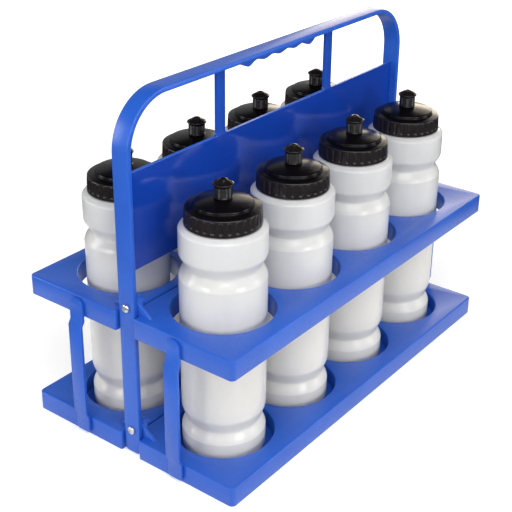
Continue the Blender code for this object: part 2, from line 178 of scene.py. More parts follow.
def copyTo(piece, name, step=(0, 0, 0), turn=0.0):
    makeActive(piece)
    bpy.ops.object.duplicate(linked=False)
    twin = bpy.context.object
    twin.name = name
    twin.data.name = name
    twin.matrix_world = Matrix.Translation(step) @ Matrix.Rotation(turn, 4, 'Z') @ twin.matrix_world
    fixPlace(twin)
    return twin


def joinPieces(name, pieces):
    freshStart()
    for piece in pieces:
        piece.select_set(True)
    bpy.context.view_layer.objects.active = pieces[0]
    bpy.ops.object.join()
    whole = bpy.context.object
    whole.name = name
    whole.data.name = name
    return whole


def rodAlongX(name, radius, start, end, y, z):
    freshStart()
    bpy.ops.mesh.primitive_cylinder_add(vertices=rodSides, radius=radius, depth=end - start,
                                        location=((start + end) / 2, y, z), rotation=(0, pi / 2, 0))
    rod = bpy.context.object
    rod.name = name
    fixPlace(rod)
    return rod


def addBlock(size, level, turn=0.0):
    freshStart()
    bpy.ops.mesh.primitive_cube_add(size=1, location=(0, 0, level), rotation=(0, 0, turn))
    block = bpy.context.object
    block.scale = size
    fixPlace(block)
    return block


def arcPoints(x, z, radius, start, end, steps):
    return [(x + radius * math.cos(start + (end - start) * i / steps),
             z + radius * math.sin(start + (end - start) * i / steps)) for i in range(steps + 1)]


def softenLine(points):
    # cuts the corners off a profile once, its two ends stay
    near, far = 0.75, 0.25
    eased = [points[0]]
    for (r, z), (s, w) in zip(points, points[1:]):
        eased += [(near * r + far * s, near * z + far * w), (far * r + near * s, far * z + near * w)]
    return eased + [points[-1]]


def smoothShade(piece, degrees=38):
    makeActive(piece)
    bpy.ops.object.shade_smooth_by_angle(angle=math.radians(degrees))


def dress(piece, finish, slot, body, *nodes):
    piece.data.materials.clear()
    piece.data.materials.append(finish)
    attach(piece, body)
    if nodes:
        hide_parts(*nodes)


def newGroup(name, inputs, outputs):
    group = bpy.data.node_groups.new(name, 'ShaderNodeTree')
    for way, sockets in (('INPUT', inputs), ('OUTPUT', outputs)):
        for label, kind in sockets:
            group.interface.new_socket(name=label, in_out=way, socket_type=kind)
    return group, group.nodes.new('NodeGroupInput'), group.nodes.new('NodeGroupOutput')


def mathNode(tree, operation, first, second=None, third=None, clamp=False):
    node = tree.nodes.new('ShaderNodeMath')
    node.operation = operation
    node.use_clamp = clamp
    for socket, value in zip(node.inputs, (first, second, third)):
        if value is None:
            continue
        if hasattr(value, 'is_linked'):
            tree.links.new(value, socket)
        else:
            socket.default_value = value
    return node.outputs[0]


def mixColours(tree, share, first, second):
    node = tree.nodes.new('ShaderNodeMix')
    node.data_type = 'RGBA'
    tree.links.new(share, node.inputs[0])
    for socket, value in ((node.inputs[6], first), (node.inputs[7], second)):
        if hasattr(value, 'is_linked'):
            tree.links.new(value, socket)
        else:
            socket.default_value = value
    return node.outputs[2]


grainLook = {"detail": 3.0, "cloudDetail": 4.0, "cloudRoughness": 0.6}


def makeGrainGroup():
    # fine moulding grain, and slow cloudy change of colour and gloss
    group, given, out = newGroup("mouldedSurface", [
        ("Place", 'NodeSocketVector'), ("Grain Size", 'NodeSocketFloat'), ("Cloud Size", 'NodeSocketFloat')],
        [("Grain", 'NodeSocketFloat'), ("Cloud", 'NodeSocketFloat')])
    links = group.links
    grain = group.nodes.new('ShaderNodeTexNoise')
    grain.inputs['Detail'].default_value = grainLook["detail"]
    cloud = group.nodes.new('ShaderNodeTexNoise')
    cloud.inputs['Detail'].default_value = grainLook["cloudDetail"]
    cloud.inputs['Roughness'].default_value = grainLook["cloudRoughness"]
    for noise, name in ((grain, "Grain"), (cloud, "Cloud")):
        links.new(given.outputs['Place'], noise.inputs['Vector'])
        links.new(given.outputs[name + " Size"], noise.inputs['Scale'])
        links.new(noise.outputs['Fac'], out.inputs[name])
    return group


grainGroup = makeGrainGroup()


def startMaterial(name, look):
    # a material with the surface group fed by object coordinates
    finish = bpy.data.materials.new(name)
    finish.use_nodes = True
    tree = finish.node_tree
    shader = tree.nodes['Principled BSDF']
    place = tree.nodes.new('ShaderNodeTexCoord').outputs['Object']
    surface = tree.nodes.new('ShaderNodeGroup')
    surface.node_tree = grainGroup
    surface.inputs['Grain Size'].default_value = look["grainSize"]
    surface.inputs['Cloud Size'].default_value = look["cloudSize"]
    tree.links.new(place, surface.inputs['Place'])
    return finish, tree, shader, place, surface


def rangeNode(tree, value, given, wanted):
    # a soft step from one pair of values to the other
    node = tree.nodes.new('ShaderNodeMapRange')
    node.interpolation_type = 'SMOOTHSTEP'
    for label, number in zip(('From Min', 'From Max', 'To Min', 'To Max'), given + wanted):
        node.inputs[label].default_value = number
    tree.links.new(value, node.inputs['Value'])
    return node.outputs['Result']


def upTo(tree, value, limit, soft):
    # one below the limit, nothing above it
    return rangeNode(tree, value, (limit, limit + soft), (1.0, 0.0))


def splitAxes(tree, vector):
    split = tree.nodes.new('ShaderNodeSeparateXYZ')
    tree.links.new(vector, split.inputs['Vector'])
    return split.outputs


def blendEnds(tree, surface, look):
    # the finish's two colours, mixed by the clouds
    share = rangeNode(tree, surface.outputs['Cloud'], look["cloudSpan"], (0.0, 1.0))
    return mixColours(tree, share, look["ends"][0], look["ends"][1])


def finishOff(tree, shader, surface, look):
    bump = tree.nodes.new('ShaderNodeBump')
    bump.inputs['Strength'].default_value = look["bump"]
    bump.inputs['Distance'].default_value = look["bumpDeep"]
    tree.links.new(surface.outputs['Grain'], bump.inputs['Height'])
    tree.links.new(bump.outputs['Normal'], shader.inputs['Normal'])


# the web colour is a darker blue that stands in for shade
blueLook = {
    "ends": ((0.0150, 0.096, 0.510, 1), (0.0195, 0.112, 0.565, 1)), "cloudSpan": (0.3, 0.7),
    "grainSize": 2400.0, "cloudSize": 14.0, "grainSpan": (0.2, 0.8), "roughness": (0.25, 0.36),
    "bump": 0.10, "bumpDeep": 0.05 * mm, "web": (0.0070, 0.045, 0.345, 1), "webSmoother": 0.19,
}
# where the frame's web and struts lie, which are smoother than the strap and painted darker, as shade
webBand = {
    "half": 1.7 * mm, "top": 258 * mm, "reach": 195.0 * mm, "strut": 79.5 * mm, "strutReach": 8 * mm,
    "strutShare": 0.6, "rail": 316.4 * mm, "soft": 0.4 * mm,
}


def webMask(tree, place):
    w = webBand
    x, y, z = splitAxes(tree, place)
    along = mathNode(tree, 'ABSOLUTE', x)
    thin = upTo(tree, mathNode(tree, 'ABSOLUTE', y), w["half"], w["soft"])
    under = upTo(tree, z, w["top"], mm)
    between = upTo(tree, along, w["reach"], w["soft"])
    onWeb = mathNode(tree, 'MULTIPLY', mathNode(tree, 'MULTIPLY', thin, under), between)
    aside = mathNode(tree, 'ABSOLUTE', mathNode(tree, 'SUBTRACT', along, w["strut"]))
    beside = rangeNode(tree, aside, (w["strutReach"], w["strutReach"] + mm), (w["strutShare"], 0.0))
    below = upTo(tree, z, w["rail"], w["soft"])
    onStrut = mathNode(tree, 'MULTIPLY', mathNode(tree, 'MULTIPLY', thin, beside), below)
    return mathNode(tree, 'MAXIMUM', onWeb, onStrut)


def makeBlue(name, hasWeb=False):
    look = blueLook
    finish, tree, shader, place, surface = startMaterial(name, look)
    colour = blendEnds(tree, surface, look)
    matte = rangeNode(tree, surface.outputs['Grain'], look["grainSpan"], look["roughness"])
    if hasWeb:
        onWeb = webMask(tree, place)
        gloss = mathNode(tree, 'MULTIPLY', onWeb, look["webSmoother"])
        matte = mathNode(tree, 'SUBTRACT', matte, gloss, clamp=True)
        # painted shade: the web, and the struts in part, get the darker blue
        colour = mixColours(tree, onWeb, colour, look["web"])
    tree.links.new(colour, shader.inputs['Base Color'])
    tree.links.new(matte, shader.inputs['Roughness'])
    finishOff(tree, shader, surface, look)
    return finish


trayBlue, linkBlue = makeBlue("trayBlue"), makeBlue("linkBlue")
frameBlue = makeBlue("frameBlue", hasWeb=True)

# the low colour, lighter and warmer than the high one, is painted light near the base
pearlLook = {
    "high": (0.655, 0.657, 0.658, 1), "low": (0.855, 0.832, 0.770, 1), "paintedLightFade": (120 * mm, 200 * mm),
    "cloudSpan": (0.3, 0.7), "shade": (1.0, 0.94), "roughness": (0.16, 0.23), "cloudSize": 30.0,
    "grainSize": 1500.0, "stretch": (1.0, 1.0, 0.35), "bump": 0.04, "bumpDeep": 0.05 * mm,
    "depth": 5 * mm, "depthShare": 0.5,
}


def makePearl():
    look = pearlLook
    finish, tree, shader, place, surface = startMaterial("pearlSkin", look)
    # the clouds are drawn out upwards into soft streaks
    flow = tree.nodes.new('ShaderNodeMapping')
    flow.inputs['Scale'].default_value = look["stretch"]
    tree.links.new(place, flow.inputs['Vector'])
    tree.links.new(flow.outputs['Vector'], surface.inputs['Place'])
    # painted light: the wall is lighter and warmer towards the base, offsetting the shade under the upper tray
    # and the blue bounce from the decks
    height = splitAxes(tree, place)['Z']
    paintedLightFade = rangeNode(tree, height, look["paintedLightFade"], (0.0, 1.0))
    shade = tree.nodes.new('ShaderNodeHueSaturation')
    tree.links.new(mixColours(tree, paintedLightFade, look["low"], look["high"]), shade.inputs['Color'])
    cloud = surface.outputs['Cloud']
    tree.links.new(rangeNode(tree, cloud, look["cloudSpan"], look["shade"]), shade.inputs['Value'])
    tree.links.new(shade.outputs['Color'], shader.inputs['Base Color'])
    tree.links.new(rangeNode(tree, cloud, look["cloudSpan"], look["roughness"]), shader.inputs['Roughness'])
    shader.inputs['Subsurface Weight'].default_value = look["depthShare"]
    shader.inputs['Subsurface Radius'].default_value = (1.0, 1.0, 1.0)
    shader.inputs['Subsurface Scale'].default_value = look["depth"]
    finishOff(tree, shader, surface, look)
    return finish


pearlSkin = makePearl()

blackLook = {"grainSize": 1900.0, "cloudSize": 60.0, "cloudSpan": (0.35, 0.75), "grainSpan": (0.25, 0.75),
             "metallic": 0.0, "bump": 0.08, "bumpDeep": 0.04 * mm}
# one black plastic in two copies: the lighter skirt copy is painted light, the darker dome copy is painted
# shade
litCapLook = {"ends": ((0.0140, 0.0115, 0.0124, 1), (0.0185, 0.0152, 0.0162, 1)), "roughness": (0.15, 0.24),
           "shine": 0.42}
shadedDomeLook = {"ends": ((0.0028, 0.0022, 0.0034, 1), (0.0038, 0.0030, 0.0042, 1)), "roughness": (0.16, 0.25),
            "shine": 0.17}
spoutLook = {"ends": ((0.0080, 0.0066, 0.0072, 1), (0.0120, 0.0100, 0.0106, 1)), "roughness": (0.13, 0.22),
             "shine": 0.40, "grainSize": 2600.0}
zincLook = {
    "ends": ((0.80, 0.79, 0.76, 1), (0.66, 0.66, 0.66, 1)), "cloudSpan": (0.3, 0.7), "grainSpan": (0.3, 0.7),
    "roughness": (0.22, 0.34), "grainSize": 3000.0, "cloudSize": 500.0, "shine": 0.5, "metallic": 1.0,
    "bump": 0.1, "bumpDeep": 0.03 * mm,
}


def makePlain(name, look):
    # a finish whose gloss follows the grain, for black plastic and zinc alike
    finish, tree, shader, _, surface = startMaterial(name, look)
    tree.links.new(blendEnds(tree, surface, look), shader.inputs['Base Color'])
    matte = rangeNode(tree, surface.outputs['Grain'], look["grainSpan"], look["roughness"])
    tree.links.new(matte, shader.inputs['Roughness'])
    shader.inputs['Metallic'].default_value = look["metallic"]
    shader.inputs['Specular IOR Level'].default_value = look["shine"]
    finishOff(tree, shader, surface, look)
    return finish


capBlack = makePlain("capBlack", {**blackLook, **litCapLook})
shadedDomeBlack = makePlain("shadedDomeBlack", {**blackLook, **shadedDomeLook})
spoutBlack = makePlain("spoutBlack", {**blackLook, **spoutLook})
zincPlate = makePlain("zincPlate", zincLook)
print("materials ready")


handle = {
    "outer": 200 * mm, "strap": 4.5 * mm, "width": 17 * mm, "top": 321.5 * mm, "foot": 0.6 * mm,
    "corner": 46 * mm, "arcSteps": 24, "footEdge": (4 * mm, 6), "edge": (0.9 * mm, 3),
    "webLow": 173.7 * mm, "webHigh": 258.9 * mm, "web": 3 * mm, "webEdge": (0.5 * mm, 2),
    "strut": 79.5 * mm, "strutWidth": 11 * mm, "fillet": 2.5 * mm, "filletSteps": 6,
    "ribWidth": 8.5 * mm, "ribDepth": 3 * mm, "ribSteps": 84, "ribSink": 2.5 * mm, "ribEdge": (1.3 * mm, 4),
    "lobes": 5, "lobePitch": 22.1 * mm, "lobeDepth": 2.1 * mm, "endDrop": 1.7 * mm, "endRun": 0.65,
    "boltLevels": (23.5 * mm, 143.2 * mm), "bolt": 2.05 * mm,
}


def strapOutline():
    h = handle
    reach, level, inside = h["outer"] - h["corner"], h["top"] - h["corner"], h["corner"] - h["strap"]
    inner = h["outer"] - h["strap"]
    line = [(-h["outer"], h["foot"])]
    line += arcPoints(-reach, level, h["corner"], pi, pi / 2, h["arcSteps"])
    line += arcPoints(reach, level, h["corner"], pi / 2, 0, h["arcSteps"])
    line += [(h["outer"], h["foot"]), (inner, h["foot"])]
    line += arcPoints(reach, level, inside, 0, pi / 2, h["arcSteps"])
    line += arcPoints(-reach, level, inside, pi / 2, pi, h["arcSteps"])
    return line + [(-inner, h["foot"])]


def strutOutline(centre):
    # flared by a fillet at both ends, which sink into the web and the rail
    h = handle
    f, foot, rail = h["fillet"], h["webHigh"], h["top"] - h["strap"]
    out = -h["strutWidth"] / 2 - f
    side = [(out, foot - mm)] + arcPoints(out, foot + f, f, -pi / 2, 0, h["filletSteps"])
    side += arcPoints(out, rail - f, f, 0, pi / 2, h["filletSteps"]) + [(out, rail + mm)]
    return [(centre + x, z) for x, z in side] + [(centre - x, z) for x, z in reversed(side)]


def lobeDrop(x):
    # how far the finger rib hangs below the rail
    h = handle
    last = (h["lobes"] - 1) / 2 * h["lobePitch"]
    if abs(x) > last:
        fade = min((abs(x) - last) / (h["endRun"] * h["lobePitch"]), 1)
        return (h["ribDepth"] + h["lobeDepth"] + h["endDrop"]) * (1 + math.cos(pi * fade)) / 2
    wave = (1 + math.cos(2 * pi * (x - last) / h["lobePitch"])) / 2
    past = min(max((abs(x) - last) / (h["lobePitch"] / 2) + 1, 0), 1)
    return h["ribDepth"] + wave * (h["lobeDepth"] + past * h["endDrop"])


def ribOutline():
    h = handle
    reach, rail = ((h["lobes"] - 1) / 2 + h["endRun"]) * h["lobePitch"], h["top"] - h["strap"]
    places = [reach - 2 * reach * i / h["ribSteps"] for i in range(1, h["ribSteps"])]
    line = [(-reach, rail + h["ribSink"]), (reach, rail + h["ribSink"])]
    return line + [(x, rail - lobeDrop(x)) for x in places]


def drawAcross(name, line, width):
    # an outline in X and Z, extruded evenly to both sides of the middle plane
    return drawPlate(name, [(x, -width / 2, z) for x, z in line], (0, width, 0))


def buildHandle():
    h = handle
    strap = drawAcross("handleFrame", strapOutline(), h["width"])
    atFoot = bothAt(h["foot"])
    pickEdges(strap, lambda a, b: atFoot(a, b) and abs(a.y - b.y) < touch)
    bevelPicked(*h["footEdge"])
    roundEdges(strap, *h["edge"])
    reach = h["outer"] - h["strap"] + mm
    corners = ((-reach, h["webLow"]), (reach, h["webLow"]), (reach, h["webHigh"]), (-reach, h["webHigh"]))
    for name, line in (("web", corners), ("strut", strutOutline(-h["strut"])),
                       ("strut", strutOutline(h["strut"]))):
        sheet = drawAcross(name, line, h["web"])
        roundEdges(sheet, *h["webEdge"])
        combine(strap, sheet, 'UNION')
    rib = drawAcross("rib", ribOutline(), h["ribWidth"])
    roundEdges(rib, *h["ribEdge"])
    combine(strap, rib, 'UNION')
    for side in (-1, 1):
        for level in h["boltLevels"]:
            middle = side * (h["outer"] - h["strap"] / 2)
            bolt = rodAlongX("bolt", h["bolt"], middle - spare, middle + spare, 0, level)
            combine(strap, bolt, 'DIFFERENCE')
    smoothShade(strap)
    dress(strap, frameBlue, "blue_plastic", "carrier", "handle_frame")


buildHandle()
print("handle frame ready")


tray = {
    "end": 203 * mm, "outside": 113.5 * mm, "inside": 0.9 * mm, "notchEnd": 186.8 * mm,
    "notchWidth": 10 * mm, "notchRound": 1.8 * mm, "notchSteps": 5, "corner": 4.5 * mm, "cornerSteps": 8,
    "least": 0.3 * mm, "height": 18.3 * mm, "low": 119.7 * mm, "wall": 3 * mm, "deck": 3 * mm,
    "floor": 3 * mm, "edge": (1.3 * mm, 4), "rim": (0.5 * mm, 2), "lip": (1.0 * mm, 3),
    "hole": 44 * mm, "holeSides": 96, "collar": 2.5 * mm, "collarFrom": -9 * mm,
    "pitch": 94.3 * mm, "row": 53.95 * mm, "columns": (-1.5, -0.5, 0.5, 1.5),
    "pivotRise": 5.2 * mm, "earOut": 195.2 * mm, "earIn": 191.9 * mm, "ear": 3 * mm, "earRadius": 9.2 * mm,
    "earSteps": 24, "earFoot": 22 * mm, "earSink": 2 * mm, "earEdge": (0.35 * mm, 2),
    "boss": 4 * mm, "bossEnd": 181.5 * mm, "bolt": 2.05 * mm, "stud": 4.3 * mm, "studReach": 4 * mm,
}


def trayOutline(inset):
    # the front tray seen from above, with a notch at each leg
    t = tray
    end, out, inner = t["end"] - inset, -t["outside"] + inset, -t["inside"] - inset
    notchX, notchY = t["notchEnd"] - inset, -t["notchWidth"] - inset
    radius, small = (max(t[key] - inset, t["least"]) for key in ("corner", "notchRound"))
    right = arcPoints(end - radius, out + radius, radius, -pi / 2, 0, t["cornerSteps"])
    right += arcPoints(end - small, notchY - small, small, 0, pi / 2, t["notchSteps"])
    right += [(notchX, notchY)]
    right += arcPoints(notchX - small, inner - small, small, 0, pi / 2, t["notchSteps"])
    return right + [(-x, y) for x, y in reversed(right)]


def holeRods(name, radius, low, high):
    # four rods in a row, as one piece
    t = tray
    rods = []
    for column in t["columns"]:
        freshStart()
        place = (column * t["pitch"], -t["row"], (low + high) / 2)
        bpy.ops.mesh.primitive_cylinder_add(vertices=t["holeSides"], radius=radius, depth=high - low,
                                            location=place)
        rods.append(bpy.context.object)
    rods = joinPieces(name, rods)
    fixPlace(rods)
    return rods


def earPlate(name, start, deckTop):
    # a round head about the pivot, with a straight bar that slopes down to the deck
    t = tray
    pivot, footY, notchY = deckTop + t["pivotRise"], -t["earFoot"], -t["notchWidth"] - mm
    reach = math.hypot(footY, t["pivotRise"])
    first = (math.atan2(-t["pivotRise"], footY) - math.acos(t["earRadius"] / reach)) % (2 * pi)
    line = [(footY, deckTop - t["earSink"]), (footY, deckTop)]
    line += arcPoints(0, pivot, t["earRadius"], first, -pi / 2, t["earSteps"])
    line += [(notchY, pivot - t["earRadius"]), (notchY, deckTop - t["earSink"])]
    plate = drawPlate(name, [(start, y, z) for y, z in line], (t["ear"], 0, 0))
    roundEdges(plate, *t["earEdge"])
    return plate


def buildTray(name, low, floor):
    t = tray
    top = low + t["height"]
    pivot, holeFrom = top + t["pivotRise"], low + floor if floor else low - spare
    atTop = bothAt(top)
    slab = drawPlate(name, [(x, y, low) for x, y in trayOutline(0)], (0, 0, t["height"]))
    pickEdges(slab, atTop)
    bevelPicked(*t["edge"])
    pickEdges(slab, bothAt(low))
    bevelPicked(*t["rim"])
    combine(slab, holeRods("holes", t["hole"], holeFrom, top + spare), 'DIFFERENCE')

    def onLip(p):
        gaps = (abs(math.hypot(p.x - c * t["pitch"], p.y + t["row"]) - t["hole"]) for c in t["columns"])
        return min(gaps) < touch

    pickEdges(slab, lambda a, b: atTop(a, b) and onLip(a) and onLip(b))
    bevelPicked(*t["lip"])
    hollow = drawPlate("hollow", [(x, y, low - spare) for x, y in trayOutline(t["wall"])],
                       (0, 0, t["height"] - t["deck"] + spare))
    collars = holeRods("collars", t["hole"] + t["collar"], low + t["collarFrom"], top)
    combine(hollow, collars, 'DIFFERENCE')
    combine(slab, hollow, 'DIFFERENCE')
    combine(slab, earPlate("plainEar", -t["earOut"], top), 'UNION')
    combine(slab, earPlate("bossEar", t["earIn"] - t["ear"], top), 'UNION')
    combine(slab, rodAlongX("boss", t["boss"], t["bossEnd"], t["earIn"] - mm, 0, pivot), 'UNION')
    for part, start, end in (("plainBolt", -t["earOut"], -t["earOut"] + t["ear"]),
                             ("bossBolt", t["bossEnd"], t["earIn"])):
        combine(slab, rodAlongX(part, t["bolt"], start - mm, end + mm, 0, pivot), 'DIFFERENCE')
    for side in (-1, 1):
        middle = side * (t["end"] - t["wall"] / 2)
        combine(slab, rodAlongX("studHole", t["stud"], middle - t["studReach"], middle + t["studReach"],
                                -t["row"], low + t["height"] / 2), 'DIFFERENCE')
    smoothShade(slab)
    return slab


for level, low, floor in (("upper", tray["low"], 0), ("lower", 0.0, tray["floor"])):
    front = buildTray("frontTray_" + level, low, floor)
    back = copyTo(front, "backTray_" + level, turn=pi)
    dress(front, trayBlue, "blue_plastic", "carrier", "front_" + level + "_tray")
    dress(back, trayBlue, "blue_plastic", "carrier", "back_" + level + "_tray")
print("trays ready")


link = {
    "face": 203.3 * mm, "thick": 2.7 * mm, "joggle": 2.7 * mm, "half": 7.5 * mm, "topSteps": 24,
    "studLevels": (128.85 * mm, 9.15 * mm), "bendTop": 115.0 * mm, "bendLow": 23.0 * mm, "slope": 4.5 * mm,
    "bottom": 2.65 * mm, "corner": 2.5 * mm, "cornerSteps": 6, "edge": (0.5 * mm, 2, 60), "past": 2 * mm,
    "broad": 30 * mm, "deep": 20 * mm, "stud": 4 * mm, "lip": 0.8 * mm, "lipFrom": 3.6 * mm,
    "lipTo": 5.1 * mm,
}


def buildLink():
    # the joggled strip seen from the side, cut to the rounded face seen from the end
    k = link
    near, row, half, corner = -k["face"], -tray["row"], k["half"], k["corner"]
    out = near - k["joggle"]
    top, bottom = k["studLevels"][0] + half + k["past"], k["bottom"] - k["past"]
    inner = [(near, top), (near, k["bendTop"]), (out, k["bendTop"] - k["slope"]), (out, k["bendLow"]),
             (near, k["bendLow"] - k["slope"]), (near, bottom)]
    outer = [(x - k["thick"], z) for x, z in reversed(inner)]
    strip = drawPlate("nearFrontLink", [(x, row - k["broad"] / 2, z) for x, z in inner + outer],
                      (0, k["broad"], 0))
    line = arcPoints(row, k["studLevels"][0], half, 0, pi, k["topSteps"])
    for middle, start in ((row - half + corner, pi), (row + half - corner, 1.5 * pi)):
        line += arcPoints(middle, k["bottom"] + corner, corner, start, start + pi / 2, k["cornerSteps"])
    side = near - k["thick"] - k["deep"] / 2
    combine(strip, drawPlate("linkFace", [(side, y, z) for y, z in line], (k["deep"], 0, 0)), 'INTERSECT')
    roundEdges(strip, *k["edge"])
    for level in k["studLevels"]:
        for name, radius, start, end in (("stud", k["stud"], -mm, k["lipFrom"]),
                                         ("studLip", k["stud"] + k["lip"], k["lipFrom"], k["lipTo"])):
            combine(strip, rodAlongX(name, radius, near + start, near + end, row, level), 'UNION')
    smoothShade(strip)
    return strip


nearFrontLink = buildLink()
farBackLink = copyTo(nearFrontLink, "farBackLink", turn=pi)
nearBackLink = copyTo(nearFrontLink, "nearBackLink", (0, 2 * tray["row"], 0))
farFrontLink = copyTo(nearBackLink, "farFrontLink", turn=pi)
for piece, node in ((nearFrontLink, "front_near_link"), (farBackLink, "back_far_link"),
                    (nearBackLink, "back_near_link"), (farFrontLink, "front_far_link")):
    dress(piece, linkBlue, "blue_plastic", "carrier", node)
print("side links ready")


screw = {
    "radius": 1.75 * mm, "head": 3.7 * mm, "headHigh": 2.3 * mm, "headSteps": 8, "headSpread": 0.98,
    "headFlat": 0.35, "headRim": 0.5 * mm, "seat": 200.3 * mm, "length": 20.3 * mm, "steps": 32,
    "threads": 15, "threadFrom": 3 * mm, "threadPitch": 1.05 * mm, "threadDeep": 0.35 * mm,
    "threadRise": 0.5 * mm, "tip": 1.5 * mm, "slot": 1.1 * mm, "slotDeep": 1.2 * mm, "slotReach": 0.62,
    "smooth": 30,
    "levels": (("upper", 143.2 * mm), ("lower", 23.5 * mm)),
}


def buildScrew():
    s = screw
    core = s["radius"] - s["threadDeep"]
    profile = [(0, -s["headHigh"])]
    for i in range(1, s["headSteps"]):
        angle = pi / 2 * i / s["headSteps"]
        high = s["headFlat"] + (1 - s["headFlat"]) * math.cos(angle)
        profile.append((s["head"] * s["headSpread"] * math.sin(angle), -s["headHigh"] * high))
    profile += [(s["head"], -s["headRim"]), (s["head"], 0), (s["radius"], 0)]
    for i in range(s["threads"]):
        z = s["threadFrom"] + i * s["threadPitch"]
        profile += [(core, z), (s["radius"], z + s["threadRise"])]
    profile += [(core, s["length"] - s["tip"]), (0, s["length"])]
    body = turnProfile("hingeScrew", profile, s["steps"])
    for turn in (0, pi / 2):
        bar = addBlock((2 * s["head"] * s["slotReach"], s["slot"], 2 * s["slotDeep"]), -s["headHigh"], turn)
        combine(body, bar, 'DIFFERENCE')
    body.matrix_world = Matrix.Rotation(pi / 2, 4, 'Y')
    fixPlace(body)
    smoothShade(body, s["smooth"])
    return body


masterScrew = buildScrew()
for end, side, turn in (("near", -1, 0.0), ("far", 1, pi)):
    for level, height in screw["levels"]:
        piece = copyTo(masterScrew, "hingeScrew_" + end + "_" + level, (side * screw["seat"], 0, height), turn)
        dress(piece, zincPlate, "zinc_steel", "carrier", "hinge_screw_" + end + "_" + level)
bpy.data.objects.remove(masterScrew, do_unlink=True)
print("hinge screws ready")


# every outline of a turned piece is in radius and height, in millimetres
bottle = {
    "base": 3.3 * mm, "wall": 1.3 * mm, "neck": 28.3 * mm, "neckWall": 1.4 * mm, "neckFoot": 211.5 * mm,
    "mouth": 224.3 * mm, "steps": 96, "inside": (4, 206), "shoulder": 190, "floor": 2.6 * mm,
    "floorReach": 30 * mm, "turn": 1.7, "rowTurn": 0.9, "smooth": 50,
    "outline": ((0, 1.2), (27.0, 1.2), (29.5, 0.0), (32.0, 0.0), (34.0, 0.7), (35.4, 2.2), (36.0, 4.4),
                (36.2, 7.5), (36.2, 20.6), (36.2, 21.0), (36.1, 21.4), (35.1, 24.1), (33.8, 26.4),
                (32.6, 28.4), (31.9, 29.9), (31.7, 31.0), (32.1, 32.6), (33.3, 35.6), (34.8, 39.2),
                (35.8, 42.0), (36.2, 44.8), (36.2, 80.0), (36.4, 120.0), (36.6, 150.0), (36.6, 165.4),
                (36.6, 165.8), (36.5, 166.2), (35.5, 169.1), (34.0, 171.5), (32.5, 173.5), (31.6, 174.9),
                (31.3, 175.9), (31.6, 177.3), (32.9, 179.8), (34.6, 182.7), (35.9, 184.9), (36.5, 186.5),
                (36.6, 188.0), (36.6, 207.2), (36.5, 208.0), (36.0, 208.7), (34.6, 209.8), (33.2, 210.8),
                (32.0, 211.4)),
}


def inMillimetres(points):
    return [(r * mm, z * mm) for r, z in points]


def bottleProfile():
    # the outside up to the mouth, then the inside down again, one wall further in
    b = bottle
    outer = softenLine(inMillimetres(b["outline"])) + [(b["neck"], b["neckFoot"]), (b["neck"], b["mouth"])]
    bore, wall, (low, high) = b["neck"] - b["neckWall"], b["wall"], b["inside"]
    inner = [(bore, b["mouth"]), (bore, b["neckFoot"] - wall)]
    inner += [(r * mm - wall, z * mm - wall * (z > b["shoulder"]))
              for r, z in reversed(b["outline"]) if low < z < high]
    return outer + inner + [(b["floorReach"], b["floor"]), (0, b["floor"])]


def buildBottle():
    body = turnProfile("bottle", bottleProfile(), bottle["steps"])
    smoothShade(body, bottle["smooth"])
    return body


cap = {
    "lift": 212.3 * mm, "steps": 150, "domeFrom": 14.1 * mm, "smooth": 30,
    "inside": ((0, 27.3), (2.4, 27.3), (2.4, 19.1), (22.2, 16.0), (22.2, 12.3), (29.0, 12.3), (29.0, 0),
               (31.7, 0)),
    "crown": ((31.98, 0.3), (32.0, 0.8), (31.92, 2.0), (31.42, 12.9), (31.36, 13.3), (31.18, 13.62),
              (30.9, 13.82), (30.4, 13.95), (26.1, 14.72), (25.6, 14.84), (25.42, 15.0), (25.38, 15.3),
              (25.26, 16.15), (25.14, 16.42), (24.9, 16.6), (24.62, 16.72), (24.5, 16.9), (24.44, 17.2),
              (24.3, 17.6), (24.05, 17.9), (23.6, 18.08), (22.4, 18.34), (19.5, 18.96), (17.0, 19.42),
              (14.0, 19.9), (11.0, 20.3), (8.0, 20.66), (4.9, 20.98)),
    "post": ((4.3, 21.1), (4.3, 29.3), (1.7, 29.3), (1.7, 35.7), (1.3, 36.1), (0, 36.1)),
    "port": (20 * mm, 2.4 * mm, 3 * mm), "portLevel": 26.3 * mm,
    "flutes": 30, "fluteRadius": 2.6 * mm, "fluteDeep": 0.8 * mm, "fluteLow": 3.9 * mm,
    "fluteHigh": 11.4 * mm, "fluteArc": 7, "fluteSides": 28,
    "skirt": 32.0 * mm, "skirtTop": 31.4 * mm, "skirtHeight": 13.9 * mm,
}


def fluteCutter():
    # a round-ended rod that leans with the skirt
    c = cap
    r, length = c["fluteRadius"], c["fluteHigh"] - c["fluteLow"]
    ends = arcPoints(0, 0, r, -pi / 2, 0, c["fluteArc"]) + arcPoints(0, length, r, 0, pi / 2, c["fluteArc"])
    rod = turnProfile("flute", ends, c["fluteSides"])
    lean = math.atan2(c["skirt"] - c["skirtTop"], c["skirtHeight"])
    foot = c["skirt"] - c["fluteLow"] * math.tan(lean) - c["fluteDeep"] + r
    rod.matrix_world = Matrix.Translation((foot, 0, c["fluteLow"])) @ Matrix.Rotation(-lean, 4, 'Y')
    fixPlace(rod)
    return rod


def ringOf(block, count):
    pieces = [block]
    for i in range(1, count):
        pieces.append(copyTo(block, block.name, turn=2 * pi * i / count))
    return pieces


def buildCap():
    c = cap
    body = turnProfile("cap", inMillimetres(c["inside"] + c["crown"] + c["post"]), c["steps"])
    combine(body, addBlock(c["port"], c["portLevel"]), 'DIFFERENCE')
    combine(body, joinPieces("flutes", ringOf(fluteCutter(), c["flutes"])), 'DIFFERENCE')
    smoothShade(body, c["smooth"])
    return body


